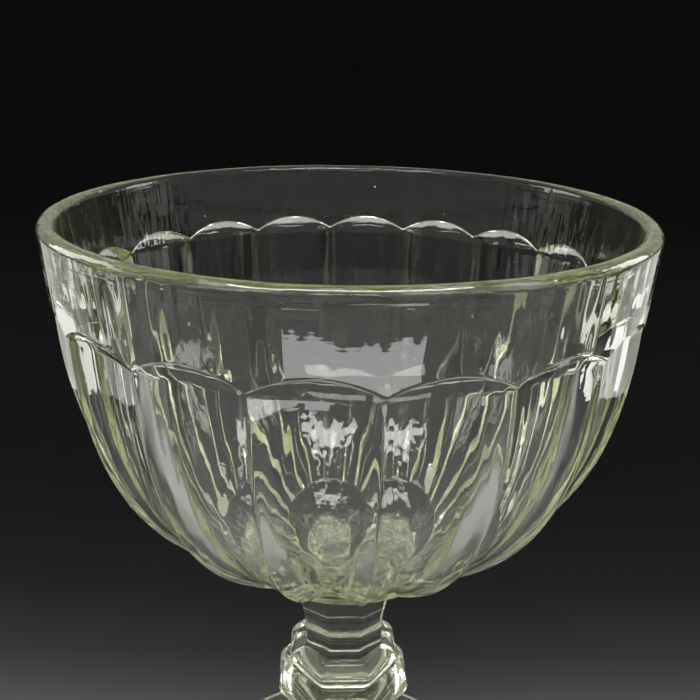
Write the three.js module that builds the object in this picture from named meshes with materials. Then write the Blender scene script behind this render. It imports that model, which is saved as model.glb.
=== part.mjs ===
import * as THREE from 'three';

// A footed bowl of pressed glass: a deep fluted bowl, a thin joining wafer, an eight-sided knopped
// stem and a round trumpet foot, fused together hot in that order from the top down.
// Sizes are in millimetres and degrees. +Z is up, the origin is the centre of the foot's base, and
// angles run from the front, which is -Y, towards +X.

// Bowl, outside
const RIM_DIAMETER = 180;
const BOWL_HEIGHT = 127.5;
const BAND_HEIGHT = 25.6;
const BAND_LEAN = 1.5;
const SIDE_LEAN_ANGLE = 1.4;
const SIDE_FULLNESS = 67;
const BASE_SLOPE_ANGLE = 31;
const BASE_FULLNESS = 34.5;
const BOSS_MARGIN = 0.6;
const BOSS_DROP = 0.9;

// Bowl, glass thickness
const RIM_WALL = 5.4;
const SIDE_WALL = 7;
const BASE_WALL = 8.2;
const FLOOR_THICKNESS = 10.5;
const LIP_ROUNDING = 2.5;
const WALL_END = 0.84;

// Flutes, the ridges between them and their arched tops
const FLUTE_COUNT = 18;
const RIDGE_TURN = 5.5;
const FLUTE_DEPTH = 2.75;
const FLUTE_END = 0.83;
const ARCH_RISE = 4.6;
const ARCH_STEP = 0.5;
const ARCH_STEP_HEIGHT = 0.35;
const RIDGE_SETBACK = 0.6;
const FLUTE_HEAD_DROP = 1.1;
const SHOULDER_HOLLOW = 0.45;
const BASE_DISC_STEP = 0.9;

// Joining wafer
const WAFER_THICKNESS = 3;
const WAFER_OVERHANG = 0.7;
const WAFER_EDGE_ROUNDING = 1.1;

// Stem, sizes across its flats
const PANEL_COUNT = 8;
const PANEL_TURN = 2.6;
const CORNER_SOFTENING = 0.016;
const NECK_TOP_ACROSS = 35;
const NECK_WAIST_ACROSS = 26.6;
const NECK_HEIGHT = 27.7;
const BEAD_ACROSS = 38.6;
const BEAD_HEIGHT = 11.2;
const BEAD_TOP_ACROSS = 28.2;
const GROOVE_ACROSS = 33.8;
const GROOVE_HEIGHT = 0.6;
const KNOP_ACROSS = 47.2;
const KNOP_HEIGHT = 10.6;
const COLLAR_ACROSS = 35.6;
const COLLAR_HEIGHT = 2.4;
const COLLAR_CHAMFER = 0.7;
const MOULDING_REACH = 72;
const NECK_SWELL = 0.42;

// Foot
const FOOT_DIAMETER = 124;
const FOOT_HEIGHT = 60;
const FOOT_EDGE_THICKNESS = 6.6;
const FOOT_EDGE_ROUNDING = 2.4;
const FOOT_LEDGE = 0.8;
const FOOT_TOP_ROUNDING = 1;
const FOOT_NECK_DROP = 27;
const FOOT_SKIRT_REACH = 29;
const FOOT_SKIRT_RISE = 3.2;
const GROUND_RING_WIDTH = 6.6;
const FOOT_HOLLOW_HEIGHT = 17;
const HOLLOW_CROWN = 0.4;
const HOLLOW_FLARE = 0.7;
const HOLLOW_FLARE_RISE = 0.3;
const GROUND_CHAMFER = 1.2;

// How finely the round shapes are divided
const SLICES_PER_FLUTE = 8;
const SLICES_PER_PANEL = 6;
const FOOT_SLICES = 64;
const WAFER_SLICES = 48;
const FLUTE_STEPS = 9;
const BASE_DISC_STEPS = 3;
const WALL_STEPS = 5;
const FLOOR_STEPS = 3;
const LIP_TURNS = [0, 30, 60, 90];
const SHOULDER_SHARES = [0.5, 1];
const BAND_SHARES = [0, 0.55];
const MOULDING_STEPS = 6;
const NECK_STEPS = 6;
const FOOT_TOP_STEPS = 8;
const FOOT_HOLLOW_STEPS = 4;

const GLASS_COLOUR = 0xdde2c6;
const GLASS_ROUGHNESS = 0.06;
const GLASS_OPACITY = 0.45;

// Depth of the corner that a quarter round cuts off, measured half way round, as a share of its
// radius.
const ROUND_CUT = 1 - Math.SQRT1_2;

const RIM_RADIUS = RIM_DIAMETER / 2;
const HALF_FLUTE = Math.PI / FLUTE_COUNT;
const HALF_PANEL = Math.PI / PANEL_COUNT;
const CORNER_REACH = 1 / Math.cos(HALF_PANEL) - CORNER_SOFTENING;

// Heights above the table, stacked from the foot up
const STEM_HEIGHT = COLLAR_HEIGHT + KNOP_HEIGHT + GROOVE_HEIGHT + BEAD_HEIGHT + NECK_HEIGHT;
const STEM_BASE = FOOT_HEIGHT;
const STEM_TOP = STEM_BASE + STEM_HEIGHT;
const BOWL_BASE = STEM_TOP + WAFER_THICKNESS;
const RIM_TOP = BOWL_BASE + BOWL_HEIGHT;

const WAFER_RADIUS = (NECK_TOP_ACROSS / 2) * CORNER_REACH + WAFER_OVERHANG;
const BOSS_RADIUS = WAFER_RADIUS + BOSS_MARGIN;

function radians(degrees) {
  return THREE.MathUtils.degToRad(degrees);
}

function mix(from, to, share) {
  return THREE.MathUtils.lerp(from, to, share);
}

function point(radius, height) {
  return new THREE.Vector2(radius, height);
}

// Angle from the nearest flute's or panel's middle, as a share of half its width: 0 to 1.
function shareOfHalf(angle, turn, half) {
  const turned = angle - turn;
  const fromMiddle = turned - 2 * half * Math.round(turned / (2 * half));
  return Math.abs(fromMiddle) / half;
}

// Turns a profile of rings about +Z, starting at the given turn. press(ring, angle) may then move
// each point of a ring in or out and up or down, as a mould presses a turned blank.
function turnedPiece(rings, slices, turn = 0, press = (ring) => ring) {
  const geometry = new THREE.LatheGeometry(rings, slices);
  const position = geometry.getAttribute('position');
  for (let slice = 0; slice <= slices; slice += 1) {
    const angle = turn + ((slice % slices) / slices) * 2 * Math.PI;
    rings.forEach((ring, index) => {
      const pressed = press(ring, angle);
      const across = pressed.x * Math.sin(angle);
      const away = -pressed.x * Math.cos(angle);
      position.setXYZ(slice * rings.length + index, across, away, pressed.y);
    });
  }
  geometry.computeVertexNormals();
  return geometry;
}

function glassMesh(name, geometry) {
  const material = new THREE.MeshStandardMaterial({ color: GLASS_COLOUR, metalness: 0 });
  material.roughness = GLASS_ROUGHNESS;
  material.transparent = true;
  material.opacity = GLASS_OPACITY;
  const mesh = new THREE.Mesh(geometry, material);
  mesh.name = name;
  return mesh;
}

// Bowl

const HEAD_HEIGHT = RIM_TOP - BAND_HEIGHT - FLUTE_HEAD_DROP;
const HEAD_RADIUS = RIM_RADIUS - BAND_LEAN - RIDGE_SETBACK;

const LIP_BASE = RIM_TOP - LIP_ROUNDING;

// The band leans in evenly from the lip down.
function bandRadius(height) {
  return RIM_RADIUS - (BAND_LEAN * (LIP_BASE - height)) / (BAND_HEIGHT - LIP_ROUNDING);
}

// The curve that the ridges and the disc below them follow, from the flutes' heads to the boss.
function ridgeCurve() {
  const head = point(HEAD_RADIUS, HEAD_HEIGHT);
  const foot = point(BOSS_RADIUS, BOWL_BASE + BOSS_DROP);
  const lean = radians(SIDE_LEAN_ANGLE);
  const slope = radians(BASE_SLOPE_ANGLE);
  const sideHandle = point(-Math.sin(lean), -Math.cos(lean)).multiplyScalar(SIDE_FULLNESS);
  const baseHandle = point(Math.cos(slope), Math.sin(slope)).multiplyScalar(BASE_FULLNESS);
  return new THREE.CubicBezierCurve(head, head.clone().add(sideHandle), foot.clone().add(baseHandle), foot);
}

const RIDGE_CURVE = ridgeCurve();

// Direction into the glass, square to the ridge curve.
function inwardAt(along) {
  const tangent = RIDGE_CURVE.getTangent(along);
  return point(tangent.y, -tangent.x);
}

function fluteRing(along) {
  const ring = RIDGE_CURVE.getPoint(along);
  ring.inward = inwardAt(along);
  ring.press = pressFlute;
  return ring;
}

// Flute surface at one place on the curve: a hollow arc across, with a sharp ridge at each side.
function pressFlute(ring, across) {
  const depth = FLUTE_DEPTH * (1 - across * across);
  return point(ring.x + ring.inward.x * depth, ring.y + ring.inward.y * depth);
}

// Height of the arched lower edge of the band.
function archHeight(across) {
  return RIM_TOP - BAND_HEIGHT + ARCH_RISE * (1 - across * across);
}

// The crescent shoulder between a flute's head and the arch above it, slightly hollow.
function pressShoulder(ring, across) {
  const head = pressFlute(fluteRing(0), across);
  const arch = archHeight(across);
  const edge = bandRadius(arch) - ARCH_STEP;
  const hollow = SHOULDER_HOLLOW * Math.sin(Math.PI * ring.shoulderShare) * (1 - across * across);
  return point(mix(head.x, edge, ring.shoulderShare) - hollow, mix(head.y, arch, ring.shoulderShare));
}

function pressBand(ring, across) {
  const arch = archHeight(across) + ARCH_STEP_HEIGHT;
  const height = mix(arch, LIP_BASE, ring.bandShare);
  return point(bandRadius(height), height);
}

// The smooth round disc under the bowl that the flutes run down to. It stands a little proud of
// the ridges at its edge and meets the boss at its middle.
function baseDiscRings() {
  const rings = [];
  for (let step = 0; step <= BASE_DISC_STEPS; step += 1) {
    const share = step / BASE_DISC_STEPS;
    const along = mix(1, FLUTE_END, share);
    const proud = inwardAt(along).multiplyScalar(-BASE_DISC_STEP * share);
    rings.push(RIDGE_CURVE.getPoint(along).add(proud));
  }
  return rings;
}

function fluteRings() {
  const rings = [];
  for (let step = FLUTE_STEPS; step >= 0; step -= 1) {
    rings.push(fluteRing((FLUTE_END * step) / FLUTE_STEPS));
  }
  return rings;
}

function shoulderRings() {
  return SHOULDER_SHARES.map((share) => {
    const ring = point(HEAD_RADIUS, HEAD_HEIGHT);
    ring.shoulderShare = share;
    ring.press = pressShoulder;
    return ring;
  });
}

function bandRings() {
  return BAND_SHARES.map((share) => {
    const ring = point(RIM_RADIUS, HEAD_HEIGHT);
    ring.bandShare = share;
    ring.press = pressBand;
    return ring;
  });
}

// The fire-polished lip: two quarter rounds with a narrow crown between them.
function lipRings() {
  const outer = RIM_RADIUS - LIP_ROUNDING;
  const inner = RIM_RADIUS - RIM_WALL + LIP_ROUNDING;
  const outerRound = LIP_TURNS.map((turn) => point(
    outer + LIP_ROUNDING * Math.cos(radians(turn)),
    LIP_BASE + LIP_ROUNDING * Math.sin(radians(turn)),
  ));
  const innerRound = LIP_TURNS.map((turn) => point(
    inner - LIP_ROUNDING * Math.sin(radians(turn)),
    LIP_BASE + LIP_ROUNDING * Math.cos(radians(turn)),
  ));
  return [...outerRound, ...innerRound];
}

// The smooth inside, kept one glass thickness in from the ridges, and its dished floor.
function insideRings() {
  const rings = [];
  for (let step = 0; step <= WALL_STEPS; step += 1) {
    const share = step / WALL_STEPS;
    const along = WALL_END * share;
    const thickness = mix(SIDE_WALL, BASE_WALL, share);
    rings.push(RIDGE_CURVE.getPoint(along).add(inwardAt(along).multiplyScalar(thickness)));
  }
  const lowest = rings[WALL_STEPS];
  const tangent = RIDGE_CURVE.getTangent(WALL_END);
  const floorHeight = BOWL_BASE + FLOOR_THICKNESS;
  const run = (lowest.y - floorHeight) * (tangent.x / tangent.y);
  const floor = new THREE.QuadraticBezierCurve(
    lowest,
    point(lowest.x - run, floorHeight),
    point(0, floorHeight),
  );
  for (let step = 1; step <= FLOOR_STEPS; step += 1) {
    rings.push(floor.getPoint(step / FLOOR_STEPS));
  }
  return rings;
}

function bowl() {
  const rings = [
    point(0, BOWL_BASE),
    point(BOSS_RADIUS, BOWL_BASE),
    ...baseDiscRings(),
    ...fluteRings(),
    ...shoulderRings(),
    ...bandRings(),
    ...lipRings(),
    ...insideRings(),
  ];
  const turn = radians(RIDGE_TURN) + HALF_FLUTE;
  const press = (ring, angle) => {
    const across = shareOfHalf(angle, turn, HALF_FLUTE);
    return ring.press ? ring.press(ring, across) : ring;
  };
  return turnedPiece(rings, FLUTE_COUNT * SLICES_PER_FLUTE, turn, press);
}

// Joining wafer

function joiningWafer() {
  const rounding = WAFER_EDGE_ROUNDING;
  const flat = WAFER_RADIUS - rounding;
  const cut = rounding * ROUND_CUT;
  const rings = [
    point(0, STEM_TOP),
    point(flat, STEM_TOP),
    point(WAFER_RADIUS - cut, STEM_TOP + cut),
    point(WAFER_RADIUS, STEM_TOP + rounding),
    point(WAFER_RADIUS, BOWL_BASE - rounding),
    point(WAFER_RADIUS - cut, BOWL_BASE - cut),
    point(flat, BOWL_BASE),
    point(0, BOWL_BASE),
  ];
  return turnedPiece(rings, WAFER_SLICES);
}

// Stem

// A rounded moulding between two heights, from one radius out to its fullest and in to another.
function moulding(low, high, lowRadius, highRadius, fullRadius) {
  const reach = radians(MOULDING_REACH);
  const rings = [];
  for (let step = 0; step <= MOULDING_STEPS; step += 1) {
    const turn = mix(-reach, reach, step / MOULDING_STEPS);
    const rise = Math.sin(turn) / Math.sin(reach);
    const swell = (Math.cos(turn) - Math.cos(reach)) / (1 - Math.cos(reach));
    const endRadius = rise < 0 ? lowRadius : highRadius;
    rings.push(point(mix(endRadius, fullRadius, swell), mix(low, high, (rise + 1) / 2)));
  }
  return rings;
}

// The neck narrows from the bead to its waist, then flares to the wafer.
function neckRings(low) {
  const bottom = point(BEAD_TOP_ACROSS / 2, low);
  const top = point(NECK_TOP_ACROSS / 2, STEM_TOP);
  const waist = NECK_WAIST_ACROSS / 2;
  const curve = new THREE.CubicBezierCurve(
    bottom,
    point(2 * waist - bottom.x, mix(low, STEM_TOP, 1 / 4)),
    point(mix(waist, top.x, NECK_SWELL), mix(low, STEM_TOP, 5 / 8)),
    top,
  );
  return curve.getPoints(NECK_STEPS).slice(1);
}

function stem() {
  const knopLow = STEM_BASE + COLLAR_HEIGHT;
  const knopHigh = knopLow + KNOP_HEIGHT;
  const beadLow = knopHigh + GROOVE_HEIGHT;
  const beadHigh = beadLow + BEAD_HEIGHT;
  const groove = GROOVE_ACROSS / 2;
  const rings = [
    point(0, STEM_BASE),
    point(COLLAR_ACROSS / 2, STEM_BASE),
    point(COLLAR_ACROSS / 2, knopLow - COLLAR_CHAMFER),
    ...moulding(knopLow, knopHigh, groove, groove, KNOP_ACROSS / 2),
    ...moulding(beadLow, beadHigh, groove, BEAD_TOP_ACROSS / 2, BEAD_ACROSS / 2),
    ...neckRings(beadHigh),
    point(0, STEM_TOP),
  ];
  const turn = radians(PANEL_TURN);
  const press = (ring, angle) => {
    const fromMiddle = shareOfHalf(angle, turn, HALF_PANEL) * HALF_PANEL;
    return point(ring.x * Math.min(1 / Math.cos(fromMiddle), CORNER_REACH), ring.y);
  };
  return turnedPiece(rings, PANEL_COUNT * SLICES_PER_PANEL, turn, press);
}

// Foot

function foot() {
  const edge = FOOT_DIAMETER / 2;
  const seat = (COLLAR_ACROSS / 2) * CORNER_REACH + FOOT_LEDGE;
  const skirt = point(edge - FOOT_EDGE_ROUNDING, FOOT_EDGE_THICKNESS);
  const neck = point(seat, FOOT_HEIGHT - FOOT_TOP_ROUNDING);
  const top = new THREE.CubicBezierCurve(
    skirt,
    point(skirt.x - FOOT_SKIRT_REACH, skirt.y + FOOT_SKIRT_RISE),
    point(neck.x + FOOT_LEDGE, neck.y - FOOT_NECK_DROP),
    neck,
  );
  const ringOuter = edge - GROUND_CHAMFER;
  const ringInner = ringOuter - GROUND_RING_WIDTH;
  const hollow = new THREE.CubicBezierCurve(
    point(0, FOOT_HOLLOW_HEIGHT),
    point(ringInner * HOLLOW_CROWN, FOOT_HOLLOW_HEIGHT),
    point(ringInner * HOLLOW_FLARE, FOOT_HOLLOW_HEIGHT * HOLLOW_FLARE_RISE),
    point(ringInner, 0),
  );
  const cut = FOOT_EDGE_ROUNDING * ROUND_CUT;
  const rings = [
    ...hollow.getPoints(FOOT_HOLLOW_STEPS),
    point(ringOuter, 0),
    point(edge, GROUND_CHAMFER),
    point(edge, FOOT_EDGE_THICKNESS - FOOT_EDGE_ROUNDING),
    point(edge - cut, FOOT_EDGE_THICKNESS - cut),
    ...top.getPoints(FOOT_TOP_STEPS),
    point(seat - FOOT_TOP_ROUNDING, FOOT_HEIGHT),
    point(0, FOOT_HEIGHT),
  ];
  return turnedPiece(rings, FOOT_SLICES);
}

const group = new THREE.Group();
group.add(glassMesh('bowl', bowl()));
group.add(glassMesh('joining_wafer', joiningWafer()));
group.add(glassMesh('stem', stem()));
group.add(glassMesh('foot', foot()));

export default group;
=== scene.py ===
import math
import random

import bmesh
import bpy
from mathutils import Matrix, Vector, noise


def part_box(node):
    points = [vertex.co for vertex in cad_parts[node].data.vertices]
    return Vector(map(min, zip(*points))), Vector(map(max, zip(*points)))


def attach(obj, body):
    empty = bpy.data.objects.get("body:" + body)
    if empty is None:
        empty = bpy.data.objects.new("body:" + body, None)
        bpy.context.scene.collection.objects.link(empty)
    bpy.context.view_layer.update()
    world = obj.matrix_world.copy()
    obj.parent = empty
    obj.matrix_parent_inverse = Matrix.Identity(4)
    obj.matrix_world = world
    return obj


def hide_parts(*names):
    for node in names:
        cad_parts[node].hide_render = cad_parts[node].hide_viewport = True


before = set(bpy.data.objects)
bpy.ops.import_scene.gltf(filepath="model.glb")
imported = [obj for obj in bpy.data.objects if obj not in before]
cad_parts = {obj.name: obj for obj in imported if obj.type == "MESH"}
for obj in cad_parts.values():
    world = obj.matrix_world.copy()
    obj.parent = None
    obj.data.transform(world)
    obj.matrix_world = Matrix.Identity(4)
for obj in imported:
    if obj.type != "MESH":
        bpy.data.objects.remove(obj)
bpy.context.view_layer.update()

# A footed bowl of pressed glass: fluted bowl, joining wafer, eight-sided stem and trumpet foot.
# Sizes are written in millimetres and used in metres. +Z is up, and angles run from the front,
# which is -Y, towards +X.

MM = 0.001

# Heights and widths of the pieces, from the frame
BOWL_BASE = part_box("bowl")[0].z
RIM_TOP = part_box("bowl")[1].z
RIM_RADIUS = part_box("bowl")[1].x
WAFER_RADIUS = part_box("joining_wafer")[1].x
WAFER_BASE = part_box("joining_wafer")[0].z
STEM_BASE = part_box("stem")[0].z
FOOT_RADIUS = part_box("foot")[1].x
FOOT_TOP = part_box("foot")[1].z

# Fused joints: each piece sinks this far into the one below
JOINT_SINK = 0.35 * MM

# Bowl
BAND_HEIGHT = 25.6 * MM
BAND_LEAN = 1.5 * MM
SIDE_LEAN_ANGLE = 1.4
SIDE_FULLNESS = 67 * MM
BASE_SLOPE_ANGLE = 31
BASE_FULLNESS = 34.5 * MM
BOSS_MARGIN = 0.6 * MM
BOSS_DROP = 0.9 * MM
SIDE_WALL = 7 * MM
BASE_WALL = 8.2 * MM
RIM_WALL = 5.4 * MM
FLOOR_THICKNESS = 10.5 * MM
LIP_ROUNDING = 2.5 * MM
WALL_END = 0.84
FLUTE_COUNT = 18
RIDGE_TURN = 5.5
FLUTE_DEPTH = 2.75 * MM
FLUTE_END = 0.83
RIDGE_SOFTNESS = 0.05
ARCH_RISE = 4.6 * MM
ARCH_STEP = 0.5 * MM
ARCH_STEP_HEIGHT = 0.35 * MM
RIDGE_SETBACK = 0.6 * MM
FLUTE_HEAD_DROP = 1.1 * MM
SHOULDER_HOLLOW = 0.45 * MM
BASE_DISC_STEP = 0.9 * MM
DISC_EDGE_ROUNDING = 0.3 * MM
FLUTE_END_ROUNDING = 0.25 * MM
HEAD_ROUNDING = 0.5 * MM
ARCH_ROUNDING = 0.14 * MM
ARCH_EDGE_ROUNDING = 0.18 * MM
FLUTE_WEAR = 0.12 * MM
WALL_UNEVENNESS = 0.16 * MM
LIP_SAG = 0.5 * MM
INSIDE_UNEVENNESS = 0.22 * MM
SEED_COUNT = 130
SEED_SIZES = (0.12 * MM, 0.15 * MM, 0.18 * MM, 0.22 * MM, 0.3 * MM)
SLICES_PER_FLUTE = 28
HALF_FLUTE = math.pi / FLUTE_COUNT

# Joining wafer
WAFER_UNEVENNESS = 0.5 * MM
WAFER_SLICES = 192

# Stem, sizes across its flats
PANEL_COUNT = 8
PANEL_TURN = 2.6
CORNER_SOFTENING = 0.016
CORNER_ROUNDING = 0.006
NECK_TOP_ACROSS = 35 * MM
NECK_WAIST_ACROSS = 26.6 * MM
BEAD_ACROSS = 38.6 * MM
BEAD_HEIGHT = 11.2 * MM
BEAD_TOP_ACROSS = 28.2 * MM
GROOVE_ACROSS = 33.8 * MM
GROOVE_HEIGHT = 0.6 * MM
KNOP_ACROSS = 47.2 * MM
KNOP_HEIGHT = 10.6 * MM
COLLAR_ACROSS = 35.6 * MM
COLLAR_HEIGHT = 2.4 * MM
COLLAR_CHAMFER = 0.7 * MM
MOULDING_REACH = 72
NECK_SWELL = 0.42
STEM_UNEVENNESS = 0.14 * MM
SLICES_PER_PANEL = 24
HALF_PANEL = math.pi / PANEL_COUNT
CORNER_REACH = 1 / math.cos(HALF_PANEL) - CORNER_SOFTENING

# Foot
FOOT_EDGE_THICKNESS = 6.6 * MM
FOOT_EDGE_ROUNDING = 2.4 * MM
FOOT_LEDGE = 0.8 * MM
FOOT_TOP_ROUNDING = 1 * MM
FOOT_NECK_DROP = 27 * MM
FOOT_SKIRT_REACH = 29 * MM
FOOT_SKIRT_RISE = 3.2 * MM
GROUND_RING_WIDTH = 6.6 * MM
FOOT_HOLLOW_HEIGHT = 17 * MM
HOLLOW_CROWN = 0.4
HOLLOW_FLARE = 0.7
HOLLOW_FLARE_RISE = 0.3
GROUND_CHAMFER = 1.2 * MM
GROUND_ROUNDING = 0.6 * MM
FOOT_UNEVENNESS = 0.18 * MM
FOOT_SLICES = 240

BOSS_RADIUS = WAFER_RADIUS + BOSS_MARGIN
HEAD_HEIGHT = RIM_TOP - BAND_HEIGHT - FLUTE_HEAD_DROP
HEAD_RADIUS = RIM_RADIUS - BAND_LEAN - RIDGE_SETBACK
LIP_BASE = RIM_TOP - LIP_ROUNDING


def mix(start, end, share):
    return start + (end - start) * share


def smooth(share):
    share = min(max(share, 0), 1)
    return share * share * (3 - 2 * share)


def flat(x, z):
    return Vector((x, 0, z))


def bezier(points, share):
    """A point on a curve with three or four control points."""
    while len(points) > 1:
        points = [a.lerp(b, share) for a, b in zip(points, points[1:])]
    return points[0]


def bezier_tangent(points, share):
    steps = [b - a for a, b in zip(points, points[1:])]
    return bezier(steps, share).normalized()


def rounded(corner, before, after, radius, steps):
    """Points of a small round that takes the place of a corner between two neighbours."""
    start = corner + (before - corner).normalized() * radius
    end = corner + (after - corner).normalized() * radius
    return [bezier([start, corner, end], step / steps) for step in range(steps + 1)]


# Turning and pressing

def turned(profile, slices, place):
    """Spins a profile about +Z, then moves each point as the mould presses it: place(ring,
    angle) gives the point's radius, height and angle."""
    bm = bmesh.new()
    ring_layer = bm.verts.layers.int.new("ring")
    line = []
    for index, spot in enumerate(profile):
        vert = bm.verts.new(spot)
        vert[ring_layer] = index
        line.append(vert)
    edges = [bm.edges.new(pair) for pair in zip(line, line[1:])]
    bmesh.ops.spin(
        bm, geom=line + edges, cent=(0, 0, 0), axis=(0, 0, 1), dvec=(0, 0, 0),
        angle=2 * math.pi, steps=slices, use_merge=True, use_duplicate=False,
    )
    bm.verts.ensure_lookup_table()
    for vert in bm.verts:
        ring = vert[ring_layer]
        spot = profile[ring]
        if abs(spot.x) < 1e-9:
            vert.co = (0, 0, spot.z)
            continue
        angle = math.atan2(vert.co.x, -vert.co.y) % (2 * math.pi)
        radius, height, angle = place(ring, angle)
        vert.co = (radius * math.sin(angle), -radius * math.cos(angle), height)
    bmesh.ops.remove_doubles(bm, verts=bm.verts, dist=1e-6)
    bmesh.ops.recalc_face_normals(bm, faces=bm.faces)
    return bm


def finish_piece(name, bm, sharp_angle, node, material):
    mesh = bpy.data.meshes.new(name)
    bm.to_mesh(mesh)
    bm.free()
    mesh.polygons.foreach_set("use_smooth", [True] * len(mesh.polygons))
    mesh.set_sharp_from_angle(angle=math.radians(sharp_angle))
    piece = bpy.data.objects.new(name, mesh)
    bpy.context.collection.objects.link(piece)
    mesh.materials.append(material)
    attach(piece, "root")
    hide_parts(node)
    return piece


# Bowl

def ridge_curve():
    head = flat(HEAD_RADIUS, HEAD_HEIGHT)
    low = flat(BOSS_RADIUS, BOWL_BASE + BOSS_DROP)
    lean = math.radians(SIDE_LEAN_ANGLE)
    slope = math.radians(BASE_SLOPE_ANGLE)
    side_handle = flat(-math.sin(lean), -math.cos(lean)) * SIDE_FULLNESS
    base_handle = flat(math.cos(slope), math.sin(slope)) * BASE_FULLNESS
    return [head, head + side_handle, low + base_handle, low]


RIDGE_CURVE = ridge_curve()


def inward_at(along):
    tangent = bezier_tangent(RIDGE_CURVE, along)
    return flat(tangent.z, -tangent.x)


def band_radius(height):
    return RIM_RADIUS - BAND_LEAN * (LIP_BASE - height) / (BAND_HEIGHT - LIP_ROUNDING)


def flute_share(across):
    """1 on a flute's middle, 0 on a ridge, whose crest is slightly soft from fire-polishing."""
    open_share = 1 - across * across
    soft = math.hypot(open_share, RIDGE_SOFTNESS) - RIDGE_SOFTNESS
    return soft / (math.hypot(1, RIDGE_SOFTNESS) - RIDGE_SOFTNESS)


def flute_point(along, across):
    return bezier(RIDGE_CURVE, along) + inward_at(along) * FLUTE_DEPTH * flute_share(across)


def base_disc_point(share):
    """The smooth disc that the flutes run down to, from the boss, 0, to the disc's edge, 1."""
    along = mix(1, FLUTE_END, share)
    return bezier(RIDGE_CURVE, along) - inward_at(along) * BASE_DISC_STEP * share


BASE_DISC_STEPS = 9
FLUTE_STEPS = 36
BAND_STEPS = 8
LIP_STEPS = 7
WALL_STEPS = 30
FLOOR_STEPS = 10


def outside_points(across):
    """The outside of the bowl from its base up to the lip, at one place across a flute."""
    disc = [base_disc_point(step / BASE_DISC_STEPS) for step in range(BASE_DISC_STEPS + 1)]
    disc_edge = disc.pop()
    flute = [
        flute_point(FLUTE_END * (1 - step / FLUTE_STEPS), across) for step in range(FLUTE_STEPS + 1)
    ]
    flute_end = flute.pop(0)
    boss = flat(BOSS_RADIUS, BOWL_BASE - JOINT_SINK)
    head = flute.pop()
    arch_height = RIM_TOP - BAND_HEIGHT + ARCH_RISE * (1 - across * across)
    arch = flat(band_radius(arch_height) - ARCH_STEP, arch_height)
    hollow = head.lerp(arch, 0.5) - flat(2 * SHOULDER_HOLLOW * (1 - across * across), 0)
    arch_edge = flat(band_radius(arch_height + ARCH_STEP_HEIGHT), arch_height + ARCH_STEP_HEIGHT)
    top = flat(RIM_RADIUS, LIP_BASE)
    points = [flat(0, BOWL_BASE - JOINT_SINK), flat(BOSS_RADIUS * 0.5, BOWL_BASE - JOINT_SINK), boss]
    points += disc
    points += rounded(disc_edge, disc[-1], flute_end, DISC_EDGE_ROUNDING, 4)
    points += rounded(flute_end, disc_edge, flute[0], FLUTE_END_ROUNDING, 3)
    points += flute
    points += rounded(head, flute[-1], hollow, HEAD_ROUNDING, 4)
    points += [bezier([head, hollow, arch], share) for share in (0.3, 0.5, 0.7, 0.88)]
    points += rounded(arch, hollow, arch_edge, ARCH_ROUNDING, 2)
    points += rounded(arch_edge, arch, top, ARCH_EDGE_ROUNDING, 3)
    points += [arch_edge.lerp(top, smooth(step / BAND_STEPS)) for step in range(1, BAND_STEPS + 1)]
    return points


def lip_points():
    outer = RIM_RADIUS - LIP_ROUNDING
    inner = RIM_RADIUS - RIM_WALL + LIP_ROUNDING
    points = []
    for step in range(1, LIP_STEPS + 1):
        turn = math.radians(90 * step / LIP_STEPS)
        points.append(flat(outer + LIP_ROUNDING * math.cos(turn), LIP_BASE + LIP_ROUNDING * math.sin(turn)))
    for step in range(LIP_STEPS + 1):
        turn = math.radians(90 * step / LIP_STEPS)
        points.append(flat(inner - LIP_ROUNDING * math.sin(turn), LIP_BASE + LIP_ROUNDING * math.cos(turn)))
    return points


def inside_points():
    wall = []
    for step in range(WALL_STEPS + 1):
        share = step / WALL_STEPS
        along = WALL_END * share
        wall.append(bezier(RIDGE_CURVE, along) + inward_at(along) * mix(SIDE_WALL, BASE_WALL, share))
    lowest = wall[-1]
    tangent = bezier_tangent(RIDGE_CURVE, WALL_END)
    floor_height = BOWL_BASE + FLOOR_THICKNESS
    run = (lowest.z - floor_height) * tangent.x / tangent.z
    curve = [lowest, flat(lowest.x - run, floor_height), flat(0, floor_height)]
    floor = [bezier(curve, step / FLOOR_STEPS) for step in range(1, FLOOR_STEPS + 1)]
    lip_inside = flat(RIM_RADIUS - RIM_WALL, LIP_BASE)
    blend = [bezier([lip_inside, lip_inside.lerp(wall[0], 0.6), wall[0]], step / 6) for step in range(1, 6)]
    return blend + wall + floor


def fire_polish(radius, height, angle, depth):
    """Unevenness left by the mould and the fire: in from the true surface by up to depth."""
    spot = Vector((math.sin(angle), -math.cos(angle), 0)) * radius + Vector((0, 0, height))
    wide = noise.noise(spot * 28)
    narrow = noise.noise(spot * 75 + Vector((3, 1, 4)))
    return depth * (0.5 + 0.35 * wide + 0.15 * narrow)


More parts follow.
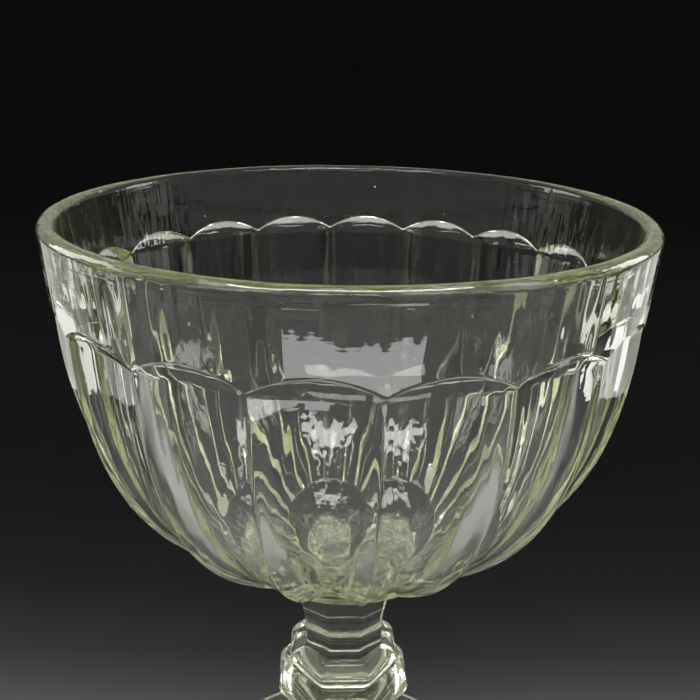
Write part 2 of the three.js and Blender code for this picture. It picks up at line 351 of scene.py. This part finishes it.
def make_bowl(material):
    lip = lip_points()
    inside = inside_points()
    outside = {}
    chance = random.Random(18)
    flute_wear = [chance.uniform(0, FLUTE_WEAR) for _ in range(FLUTE_COUNT)]
    middle = outside_points(0)
    profile = middle + lip + inside
    outside_count = len(middle)
    lip_end = outside_count + len(lip)
    turn = math.radians(RIDGE_TURN)

    def place(ring, angle):
        position = (angle - turn) / (2 * HALF_FLUTE)
        flute = math.floor(position + 1e-6)
        across = 2 * (position - flute) - 1
        across = mix(across, math.sin(math.pi / 2 * across), 0.5)
        true_angle = turn + (2 * flute + 1 + across) * HALF_FLUTE
        key = round(abs(across), 5)
        if ring < outside_count:
            if key not in outside:
                outside[key] = outside_points(key)
            spot = outside[key][ring]
            radius, height = spot.x, spot.z
            if ring > 2:
                radius -= flute_wear[flute % FLUTE_COUNT] * (1 - across * across)
                radius -= fire_polish(radius, height, true_angle, WALL_UNEVENNESS)
        elif ring < lip_end:
            spot = profile[ring]
            sag = fire_polish(spot.x, 0, true_angle, LIP_SAG)
            radius, height = spot.x, spot.z - sag * smooth((spot.z - LIP_BASE) / LIP_ROUNDING)
            radius -= fire_polish(radius, height, true_angle, WALL_UNEVENNESS)
        else:
            spot = profile[ring]
            wobble = fire_polish(spot.x, spot.z, true_angle, INSIDE_UNEVENNESS)
            radius, height = spot.x, spot.z
            if height > BOWL_BASE + FLOOR_THICKNESS + 1 * MM:
                radius -= wobble
        return radius, height, true_angle

    bm = turned(profile, FLUTE_COUNT * SLICES_PER_FLUTE, place)
    add_seeds(bm)
    return finish_piece("bowl_glass", bm, 38, "bowl", material)


def add_seeds(bm):
    """Tiny bubbles caught in the wall: small closed hollows, their faces turned into the hollow."""
    chance = random.Random(7)
    for _ in range(SEED_COUNT):
        flute = chance.randrange(FLUTE_COUNT)
        across = chance.uniform(-0.6, 0.6)
        angle = math.radians(RIDGE_TURN) + (2 * flute + 1 + across) * HALF_FLUTE
        size = chance.choice(SEED_SIZES)
        if chance.random() < 0.35:
            height = chance.uniform(RIM_TOP - BAND_HEIGHT + 8 * MM, LIP_BASE - 3 * MM)
            radius = band_radius(height) - chance.uniform(2.2, 3.4) * MM
        else:
            along = chance.uniform(0.08, 0.85)
            spot = bezier(RIDGE_CURVE, along) + inward_at(along) * chance.uniform(4.3, 6.2) * MM
            radius, height = spot.x, spot.z
        centre = Vector((radius * math.sin(angle), -radius * math.cos(angle), height))
        stretch = Matrix.Diagonal((1, 1, chance.uniform(1, 1.9), 1))
        made = bmesh.ops.create_icosphere(
            bm, subdivisions=2, radius=size, matrix=Matrix.Translation(centre) @ stretch,
        )
        faces = {face for vert in made["verts"] for face in vert.link_faces}
        bmesh.ops.reverse_faces(bm, faces=list(faces))


# Joining wafer, stem and foot

def make_wafer(material):
    low = WAFER_BASE - JOINT_SINK
    profile = [flat(0, low), flat(WAFER_RADIUS * 0.6, low)]
    middle = (WAFER_BASE + BOWL_BASE) / 2
    half = (BOWL_BASE - WAFER_BASE) / 2
    for step in range(13):
        turn = math.radians(mix(-90, 90, step / 12))
        profile.append(flat(WAFER_RADIUS - half * (1 - math.cos(turn)), middle + half * math.sin(turn)))
    profile[2].z = low
    profile += [flat(WAFER_RADIUS * 0.6, BOWL_BASE), flat(0, BOWL_BASE)]

    def place(ring, angle):
        spot = profile[ring]
        flow = fire_polish(spot.x, 0, angle, WAFER_UNEVENNESS) if 1 < ring < len(profile) - 2 else 0
        return spot.x - flow, spot.z, angle

    bm = turned(profile, WAFER_SLICES, place)
    return finish_piece("wafer_glass", bm, 40, "joining_wafer", material)


def moulding(low, high, low_radius, high_radius, full_radius, steps=14):
    reach = math.radians(MOULDING_REACH)
    points = []
    for step in range(steps + 1):
        turn = mix(-reach, reach, step / steps)
        rise = math.sin(turn) / math.sin(reach)
        swell = (math.cos(turn) - math.cos(reach)) / (1 - math.cos(reach))
        end_radius = low_radius if rise < 0 else high_radius
        points.append(flat(mix(end_radius, full_radius, swell), mix(low, high, (rise + 1) / 2)))
    return points


def panel_reach(from_middle):
    """How far a panel's face is from the axis, as a share of half the width across the flats."""
    face = 1 / math.cos(from_middle)
    gap = math.hypot(face - CORNER_REACH, CORNER_ROUNDING)
    return (face + CORNER_REACH - gap) / 2 + CORNER_ROUNDING / 2


def make_stem(material):
    knop_low = STEM_BASE + COLLAR_HEIGHT
    knop_high = knop_low + KNOP_HEIGHT
    bead_low = knop_high + GROOVE_HEIGHT
    bead_high = bead_low + BEAD_HEIGHT
    groove = GROOVE_ACROSS / 2
    low = STEM_BASE - JOINT_SINK
    bottom = flat(BEAD_TOP_ACROSS / 2, bead_high)
    top = flat(NECK_TOP_ACROSS / 2, WAFER_BASE)
    waist = NECK_WAIST_ACROSS / 2
    neck = [
        bottom,
        flat(2 * waist - bottom.x, mix(bead_high, WAFER_BASE, 1 / 4)),
        flat(mix(waist, top.x, NECK_SWELL), mix(bead_high, WAFER_BASE, 5 / 8)),
        top,
    ]
    profile = [
        flat(0, low),
        flat(COLLAR_ACROSS / 4, low),
        flat(COLLAR_ACROSS / 2, low),
        flat(COLLAR_ACROSS / 2, knop_low - COLLAR_CHAMFER),
        *moulding(knop_low, knop_high, groove, groove, KNOP_ACROSS / 2),
        *moulding(bead_low, bead_high, groove, BEAD_TOP_ACROSS / 2, BEAD_ACROSS / 2),
        *[bezier(neck, step / 22) for step in range(1, 23)],
        flat(NECK_TOP_ACROSS / 4, WAFER_BASE),
        flat(0, WAFER_BASE),
    ]
    turn = math.radians(PANEL_TURN)

    def place(ring, angle):
        position = (angle - turn) / (2 * HALF_PANEL)
        panel = math.floor(position + 0.5)
        across = 2 * (position - panel)
        across = mix(across, math.sin(math.pi / 2 * across), 0.6)
        true_angle = turn + (2 * panel + across) * HALF_PANEL
        spot = profile[ring]
        radius = spot.x * panel_reach(across * HALF_PANEL)
        radius -= fire_polish(radius, spot.z, true_angle, STEM_UNEVENNESS)
        return radius, spot.z, true_angle

    bm = turned(profile, PANEL_COUNT * SLICES_PER_PANEL, place)
    return finish_piece("stem_glass", bm, 38, "stem", material)


def make_foot(material):
    seat = COLLAR_ACROSS / 2 * CORNER_REACH + FOOT_LEDGE
    skirt = flat(FOOT_RADIUS - FOOT_EDGE_ROUNDING, FOOT_EDGE_THICKNESS)
    neck = flat(seat, FOOT_TOP - FOOT_TOP_ROUNDING)
    top = [
        skirt,
        flat(skirt.x - FOOT_SKIRT_REACH, skirt.z + FOOT_SKIRT_RISE),
        flat(neck.x + FOOT_LEDGE, neck.z - FOOT_NECK_DROP),
        neck,
    ]
    ring_outer = FOOT_RADIUS - GROUND_CHAMFER
    ring_inner = ring_outer - GROUND_RING_WIDTH
    hollow = [
        flat(0, FOOT_HOLLOW_HEIGHT),
        flat(ring_inner * HOLLOW_CROWN, FOOT_HOLLOW_HEIGHT),
        flat(ring_inner * HOLLOW_FLARE, FOOT_HOLLOW_HEIGHT * HOLLOW_FLARE_RISE),
        flat(ring_inner, 0),
    ]
    edge_low = flat(FOOT_RADIUS, GROUND_CHAMFER)
    edge_high = flat(FOOT_RADIUS, FOOT_EDGE_THICKNESS)
    ledge = flat(seat, FOOT_TOP)
    profile = [bezier(hollow, step / 20) for step in range(20)]
    profile += rounded(hollow[3], hollow[2], flat(ring_outer, 0), GROUND_ROUNDING, 4)
    profile.append(flat(ring_inner + GROUND_RING_WIDTH / 2, 0))
    profile += rounded(flat(ring_outer, 0), hollow[3], edge_low, GROUND_ROUNDING, 4)
    profile += rounded(edge_low, flat(ring_outer, 0), edge_high, GROUND_ROUNDING, 3)
    profile += rounded(edge_high, edge_low, skirt, FOOT_EDGE_ROUNDING, 7)
    profile += [bezier(top, step / 34) for step in range(1, 34)]
    profile += rounded(ledge, neck, flat(0, FOOT_TOP), FOOT_TOP_ROUNDING, 5)
    profile += [flat(seat / 2, FOOT_TOP), flat(0, FOOT_TOP)]

    def place(ring, angle):
        spot = profile[ring]
        flow = fire_polish(spot.x, spot.z, angle, FOOT_UNEVENNESS) if spot.z > 1 * MM else 0
        return spot.x - flow, spot.z, angle

    bm = turned(profile, FOOT_SLICES, place)
    return finish_piece("foot_glass", bm, 38, "foot", material)


# Materials

GLASS_COLOR = (0.985, 0.992, 0.972, 1)
GLASS_TINT = (0.735, 0.76, 0.45, 1)
GLASS_IOR = 1.52
GRAIN_COLOR = (0.3, 0.28, 0.2, 1)
GRAIN_FINENESS = 260.0
GRAIN_SLANT = 0.8
GRAIN_LINE_WIDTH = 0.08
GRAIN_FADE = 4 * MM
BOWL_TINT_DENSITY = 14.0
STEM_TINT_DENSITY = 9.0


def new_node(tree, kind, spot, **values):
    node = tree.nodes.new(kind)
    node.location = spot
    for key, value in values.items():
        setattr(node, key, value)
    return node


def lip_streaks(tree, place):
    """Fine lines like wood grain that run round the lip, and fade out down the band: returns
    their height and how far they darken the glass."""
    links = tree.links
    parts = new_node(tree, "ShaderNodeSeparateXYZ", (-1900, -700))
    links.new(place.outputs["Object"], parts.inputs["Vector"])
    level = new_node(tree, "ShaderNodeVectorMath", (-1900, -900), operation="MULTIPLY")
    level.inputs[1].default_value = (1, 1, 0)
    links.new(place.outputs["Object"], level.inputs[0])
    reach = new_node(tree, "ShaderNodeVectorMath", (-1700, -900), operation="LENGTH")
    links.new(level.outputs["Vector"], reach.inputs[0])
    heading = new_node(tree, "ShaderNodeVectorMath", (-1700, -1100), operation="NORMALIZE")
    links.new(level.outputs["Vector"], heading.inputs[0])
    turn = new_node(tree, "ShaderNodeSeparateXYZ", (-1500, -1100))
    links.new(heading.outputs["Vector"], turn.inputs["Vector"])
    profile = new_node(tree, "ShaderNodeMath", (-1500, -800), operation="MULTIPLY_ADD")
    links.new(parts.outputs["Z"], profile.inputs[0])
    profile.inputs[1].default_value = GRAIN_SLANT
    links.new(reach.outputs["Value"], profile.inputs[2])
    fine = new_node(tree, "ShaderNodeMath", (-1300, -800), operation="MULTIPLY")
    links.new(profile.outputs["Value"], fine.inputs[0])
    fine.inputs[1].default_value = GRAIN_FINENESS
    spot = new_node(tree, "ShaderNodeCombineXYZ", (-1100, -900))
    links.new(turn.outputs["X"], spot.inputs["X"])
    links.new(turn.outputs["Y"], spot.inputs["Y"])
    links.new(fine.outputs["Value"], spot.inputs["Z"])
    grain = new_node(tree, "ShaderNodeTexNoise", (-900, -900))
    grain.inputs["Scale"].default_value = 3.0
    grain.inputs["Detail"].default_value = 1.5
    grain.inputs["Distortion"].default_value = 0.3
    links.new(spot.outputs["Vector"], grain.inputs["Vector"])
    strength = new_node(tree, "ShaderNodeMapRange", (-900, -650))
    strength.inputs["From Min"].default_value = LIP_BASE - GRAIN_FADE
    strength.inputs["From Max"].default_value = LIP_BASE
    strength.inputs["To Min"].default_value = 0.1
    links.new(parts.outputs["Z"], strength.inputs["Value"])
    height = new_node(tree, "ShaderNodeMath", (-650, -700), operation="MULTIPLY")
    links.new(grain.outputs["Fac"], height.inputs[0])
    links.new(strength.outputs["Result"], height.inputs[1])
    centred = new_node(tree, "ShaderNodeMath", (-700, -900), operation="SUBTRACT")
    links.new(grain.outputs["Fac"], centred.inputs[0])
    centred.inputs[1].default_value = 0.5
    apart = new_node(tree, "ShaderNodeMath", (-550, -900), operation="ABSOLUTE")
    links.new(centred.outputs["Value"], apart.inputs[0])
    line = new_node(tree, "ShaderNodeMapRange", (-400, -900), interpolation_type="SMOOTHSTEP")
    line.inputs["From Max"].default_value = GRAIN_LINE_WIDTH
    line.inputs["To Min"].default_value = 1.0
    line.inputs["To Max"].default_value = 0.0
    links.new(apart.outputs["Value"], line.inputs["Value"])
    shade = new_node(tree, "ShaderNodeMath", (-200, -900), operation="MULTIPLY")
    links.new(line.outputs["Result"], shade.inputs[0])
    links.new(strength.outputs["Result"], shade.inputs[1])
    return height.outputs["Value"], shade.outputs["Value"]


def glass_surface_group():
    """Wavy fire-polished glass with wiping marks and grain in the lip: gives the surface's
    colour, roughness and normal."""
    tree = bpy.data.node_groups.new("pressed glass surface", "ShaderNodeTree")
    face = tree.interface
    for name, value in (
        ("Wave Scale", 60.0), ("Wave Depth", 0.00003), ("Ripple Scale", 700.0),
        ("Ripple Depth", 0.000002), ("Flow Scale", 180.0), ("Flow Depth", 0.0),
        ("Streak Depth", 0.0), ("Streak Shade", 0.0), ("Smear Scale", 25.0), ("Smear Roughness", 0.05),
    ):
        socket = face.new_socket(name, in_out="INPUT", socket_type="NodeSocketFloat")
        socket.default_value = value
    face.new_socket("Color", in_out="OUTPUT", socket_type="NodeSocketColor")
    face.new_socket("Roughness", in_out="OUTPUT", socket_type="NodeSocketFloat")
    face.new_socket("Normal", in_out="OUTPUT", socket_type="NodeSocketVector")
    links = tree.links
    given = new_node(tree, "NodeGroupInput", (-1100, 0))
    out = new_node(tree, "NodeGroupOutput", (700, 0))
    place = new_node(tree, "ShaderNodeTexCoord", (-1100, 300))
    wave = new_node(tree, "ShaderNodeTexNoise", (-800, 300))
    wave.inputs["Detail"].default_value = 2.0
    ripple = new_node(tree, "ShaderNodeTexNoise", (-800, 50))
    ripple.inputs["Detail"].default_value = 3.0
    smear = new_node(tree, "ShaderNodeTexNoise", (-800, -250))
    smear.inputs["Detail"].default_value = 6.0
    smear.inputs["Roughness"].default_value = 0.62
    smear.inputs["Distortion"].default_value = 1.4
    for texture, name in ((wave, "Wave Scale"), (ripple, "Ripple Scale"), (smear, "Smear Scale")):
        links.new(place.outputs["Object"], texture.inputs["Vector"])
        links.new(given.outputs[name], texture.inputs["Scale"])
    wave_bump = new_node(tree, "ShaderNodeBump", (-400, 300))
    ripple_bump = new_node(tree, "ShaderNodeBump", (-100, 150))
    links.new(wave.outputs["Fac"], wave_bump.inputs["Height"])
    links.new(given.outputs["Wave Depth"], wave_bump.inputs["Distance"])
    links.new(ripple.outputs["Fac"], ripple_bump.inputs["Height"])
    links.new(given.outputs["Ripple Depth"], ripple_bump.inputs["Distance"])
    links.new(wave_bump.outputs["Normal"], ripple_bump.inputs["Normal"])
    upright = new_node(tree, "ShaderNodeVectorMath", (-600, 600), operation="MULTIPLY")
    upright.inputs[1].default_value = (1, 1, 0.14)
    links.new(place.outputs["Object"], upright.inputs[0])
    flow = new_node(tree, "ShaderNodeTexNoise", (-400, 600))
    flow.inputs["Detail"].default_value = 1.0
    links.new(upright.outputs["Vector"], flow.inputs["Vector"])
    links.new(given.outputs["Flow Scale"], flow.inputs["Scale"])
    flow_bump = new_node(tree, "ShaderNodeBump", (100, 300))
    links.new(flow.outputs["Fac"], flow_bump.inputs["Height"])
    links.new(given.outputs["Flow Depth"], flow_bump.inputs["Distance"])
    links.new(ripple_bump.outputs["Normal"], flow_bump.inputs["Normal"])
    streak, shade = lip_streaks(tree, place)
    streak_bump = new_node(tree, "ShaderNodeBump", (300, 100))
    links.new(streak, streak_bump.inputs["Height"])
    links.new(given.outputs["Streak Depth"], streak_bump.inputs["Distance"])
    links.new(flow_bump.outputs["Normal"], streak_bump.inputs["Normal"])
    links.new(streak_bump.outputs["Normal"], out.inputs["Normal"])
    darkness = new_node(tree, "ShaderNodeMath", (100, -700), operation="MULTIPLY")
    links.new(shade, darkness.inputs[0])
    links.new(given.outputs["Streak Shade"], darkness.inputs[1])
    tone = new_node(tree, "ShaderNodeMix", (300, -600), data_type="RGBA")
    tone.inputs[6].default_value = GLASS_COLOR
    tone.inputs[7].default_value = GRAIN_COLOR
    links.new(darkness.outputs["Value"], tone.inputs[0])
    links.new(tone.outputs[2], out.inputs["Color"])
    spread = new_node(tree, "ShaderNodeMapRange", (-400, -250))
    spread.inputs["From Min"].default_value = 0.5
    spread.inputs["From Max"].default_value = 0.75
    links.new(smear.outputs["Fac"], spread.inputs["Value"])
    links.new(given.outputs["Smear Roughness"], spread.inputs["To Max"])
    links.new(spread.outputs["Result"], out.inputs["Roughness"])
    return tree


def glass_material(name, surface, tint_density, **values):
    material = bpy.data.materials.new(name)
    material.use_nodes = True
    tree = material.node_tree
    shader = tree.nodes["Principled BSDF"]
    shader.inputs["Base Color"].default_value = GLASS_COLOR
    shader.inputs["Transmission Weight"].default_value = 1.0
    shader.inputs["Metallic"].default_value = 0.0
    shader.inputs["IOR"].default_value = GLASS_IOR
    life = new_node(tree, "ShaderNodeGroup", (-300, 0))
    life.node_tree = surface
    for key, value in values.items():
        life.inputs[key.replace("_", " ").title()].default_value = value
    if "streak_shade" in values:
        tree.links.new(life.outputs["Color"], shader.inputs["Base Color"])
    tree.links.new(life.outputs["Roughness"], shader.inputs["Roughness"])
    tree.links.new(life.outputs["Normal"], shader.inputs["Normal"])
    tint = new_node(tree, "ShaderNodeVolumeAbsorption", (0, -500))
    tint.inputs["Color"].default_value = GLASS_TINT
    tint.inputs["Density"].default_value = tint_density
    tree.links.new(tint.outputs["Volume"], tree.nodes["Material Output"].inputs["Volume"])
    return material


surface = glass_surface_group()
bowl_material = glass_material(
    "pressed glass bowl", surface, BOWL_TINT_DENSITY, wave_depth=0.00006, flow_depth=0.0003,
    streak_depth=0.00008, streak_shade=0.85,
)
wafer_material = glass_material("pressed glass wafer", surface, STEM_TINT_DENSITY, smear_roughness=0.25)
stem_material = glass_material("pressed glass stem", surface, STEM_TINT_DENSITY, wave_depth=0.00004)
foot_material = glass_material("pressed glass foot", surface, STEM_TINT_DENSITY)

make_bowl(bowl_material)
make_wafer(wafer_material)
make_stem(stem_material)
make_foot(foot_material)


# Studio

SURROUND_SHADE = 0.42
FAR_SHADE = 0.0037
LOW_SKY = (0.047, 0.08)
SIDE_SKY = (0.9, 0.7)
SENSOR_WIDTH = 36
PICTURE_WIDTH = 700
FOCAL_PIXELS = 823.786
CENTRE_SHIFT_PIXELS = 2.009
CAMERA_BEFORE_AXIS = 0.248566
CAMERA_ABOVE_RIM = 0.046178
CAMERA_TILT = 20.503
CAMERA_ROLL = 0.954
FLOOR_RADIUS = 12.0
# Painted shade on the floor: its colour darkens from just in front of the axis backwards, over SHADE_DEPTH
PALE_REACH = 12.0
SHADE_START = -0.045
SHADE_DEPTH = 0.32
FLOOR_SHADES = (
    (0.0, 0.42), (0.1, 0.33), (0.2, 0.18), (0.3, 0.08), (0.42, 0.03), (0.6, 0.012), (1.0, 0.007),
)
FLOOR_DROP = 0.2 * MM


def shade_ramp(ramp, stops):
    while len(ramp.elements) < len(stops):
        ramp.elements.new(0.5)
    for element, (at, shade) in zip(ramp.elements, stops):
        element.position = at
        element.color = (shade, shade, shade, 1)


def make_floor():
    """A plain floor, pale in front, with painted shade under the foot and behind it: its colour itself
    darkens there to nearly black.
    """
    material = bpy.data.materials.new("pale floor with painted shade")
    material.use_nodes = True
    tree = material.node_tree
    shader = tree.nodes["Principled BSDF"]
    shader.inputs["Roughness"].default_value = 0.9
    shader.inputs["Specular IOR Level"].default_value = 0.0
    place = new_node(tree, "ShaderNodeTexCoord", (-1100, 0))
    distance = new_node(tree, "ShaderNodeVectorMath", (-900, 0), operation="DISTANCE")
    distance.inputs[1].default_value = (0, SHADE_START - PALE_REACH, 0)
    tree.links.new(place.outputs["Object"], distance.inputs[0])
    behind = new_node(tree, "ShaderNodeMapRange", (-700, 0))
    behind.inputs["From Min"].default_value = PALE_REACH
    behind.inputs["From Max"].default_value = PALE_REACH + SHADE_DEPTH
    tree.links.new(distance.outputs["Value"], behind.inputs["Value"])
    # Painted shade: the floor's colour runs from pale to nearly black behind the foot
    fall = new_node(tree, "ShaderNodeValToRGB", (-400, 0))
    fall.color_ramp.interpolation = "B_SPLINE"
    shade_ramp(fall.color_ramp, FLOOR_SHADES)
    tree.links.new(behind.outputs["Result"], fall.inputs["Fac"])
    tree.links.new(fall.outputs["Color"], shader.inputs["Base Color"])
    bm = bmesh.new()
    bmesh.ops.create_circle(bm, cap_ends=True, segments=96, radius=FLOOR_RADIUS)
    bmesh.ops.translate(bm, verts=bm.verts, vec=(0, 0, -FLOOR_DROP))
    mesh = bpy.data.meshes.new("studio_floor")
    bm.to_mesh(mesh)
    bm.free()
    mesh.materials.append(material)
    floor = bpy.data.objects.new("studio_floor", mesh)
    bpy.context.collection.objects.link(floor)


def soft_light(name, spot, target, size, power):
    data = bpy.data.lights.new(name, "AREA")
    data.shape = "RECTANGLE"
    data.size, data.size_y = size
    data.energy = power
    light = bpy.data.objects.new(name, data)
    bpy.context.collection.objects.link(light)
    light.visible_camera = False
    light.location = spot
    light.rotation_euler = (Vector(target) - Vector(spot)).to_track_quat("-Z", "Y").to_euler()


def make_world():
    world = bpy.data.worlds.new("studio")
    bpy.context.scene.world = world
    world.use_nodes = True
    tree = world.node_tree
    back = tree.nodes["Background"]
    back.inputs["Strength"].default_value = 1.0
    place = new_node(tree, "ShaderNodeTexCoord", (-900, 0))
    parts = new_node(tree, "ShaderNodeSeparateXYZ", (-700, 0))
    tree.links.new(place.outputs["Generated"], parts.inputs["Vector"])
    above = new_node(tree, "ShaderNodeMapRange", (-400, 200), interpolation_type="SMOOTHSTEP")
    above.inputs["From Min"].default_value = LOW_SKY[0]
    above.inputs["From Max"].default_value = LOW_SKY[1]
    tree.links.new(parts.outputs["Z"], above.inputs["Value"])
    aside = new_node(tree, "ShaderNodeMapRange", (-400, -100), interpolation_type="SMOOTHSTEP")
    aside.inputs["From Min"].default_value = SIDE_SKY[0]
    aside.inputs["From Max"].default_value = SIDE_SKY[1]
    tree.links.new(parts.outputs["Y"], aside.inputs["Value"])
    lit = new_node(tree, "ShaderNodeMath", (-200, 100), operation="MAXIMUM")
    tree.links.new(above.outputs["Result"], lit.inputs[0])
    tree.links.new(aside.outputs["Result"], lit.inputs[1])
    sky = new_node(tree, "ShaderNodeValToRGB", (0, 0))
    shade_ramp(sky.color_ramp, ((0.0, FAR_SHADE), (1.0, SURROUND_SHADE)))
    tree.links.new(lit.outputs["Value"], sky.inputs["Fac"])
    tree.links.new(sky.outputs["Color"], back.inputs["Color"])


def make_camera():
    data = bpy.data.cameras.new("camera")
    data.sensor_width = SENSOR_WIDTH
    data.lens = SENSOR_WIDTH * FOCAL_PIXELS / PICTURE_WIDTH
    data.shift_x = CENTRE_SHIFT_PIXELS / PICTURE_WIDTH
    camera = bpy.data.objects.new("camera", data)
    bpy.context.collection.objects.link(camera)
    camera.location = (0, -CAMERA_BEFORE_AXIS, RIM_TOP + CAMERA_ABOVE_RIM)
    tilt = Matrix.Rotation(math.radians(90 - CAMERA_TILT), 4, "X")
    roll = Matrix.Rotation(math.radians(CAMERA_ROLL), 4, "Z")
    camera.rotation_euler = (tilt @ roll).to_euler()
    bpy.context.scene.camera = camera


make_floor()
make_world()
make_camera()
soft_light("left window", (-0.85, 0.35, 0.6), (0, 0, 0.18), (0.35, 0.6), 3)
soft_light("right window", (0.9, 0.4, 0.55), (0, 0, 0.16), (0.3, 0.5), 2.5)
soft_light("top softbox", (0.0, -0.1, 1.1), (0, 0, 0.2), (0.8, 0.14), 5.5)
soft_light("left card", (-0.37, 0.17, 0.1), (0, 0, 0.2), (0.24, 0.17), 0.11)
soft_light("right card", (0.38, 0.19, 0.1), (0, 0, 0.2), (0.24, 0.17), 0.13)
for share in (1, 0.75, 0.5):
    size = (0.34 * share, 0.04 * share)
    soft_light("front strip", (0.012, -0.428, 0.03), (0, -0.09, 0.23), size, 0.22 * share)

bpy.context.scene.view_settings.view_transform = "Standard"

# Light crosses thick glass many times before it leaves
cycles = bpy.context.scene.cycles
cycles.max_bounces = 32
cycles.glossy_bounces = 24
cycles.transmission_bounces = 32
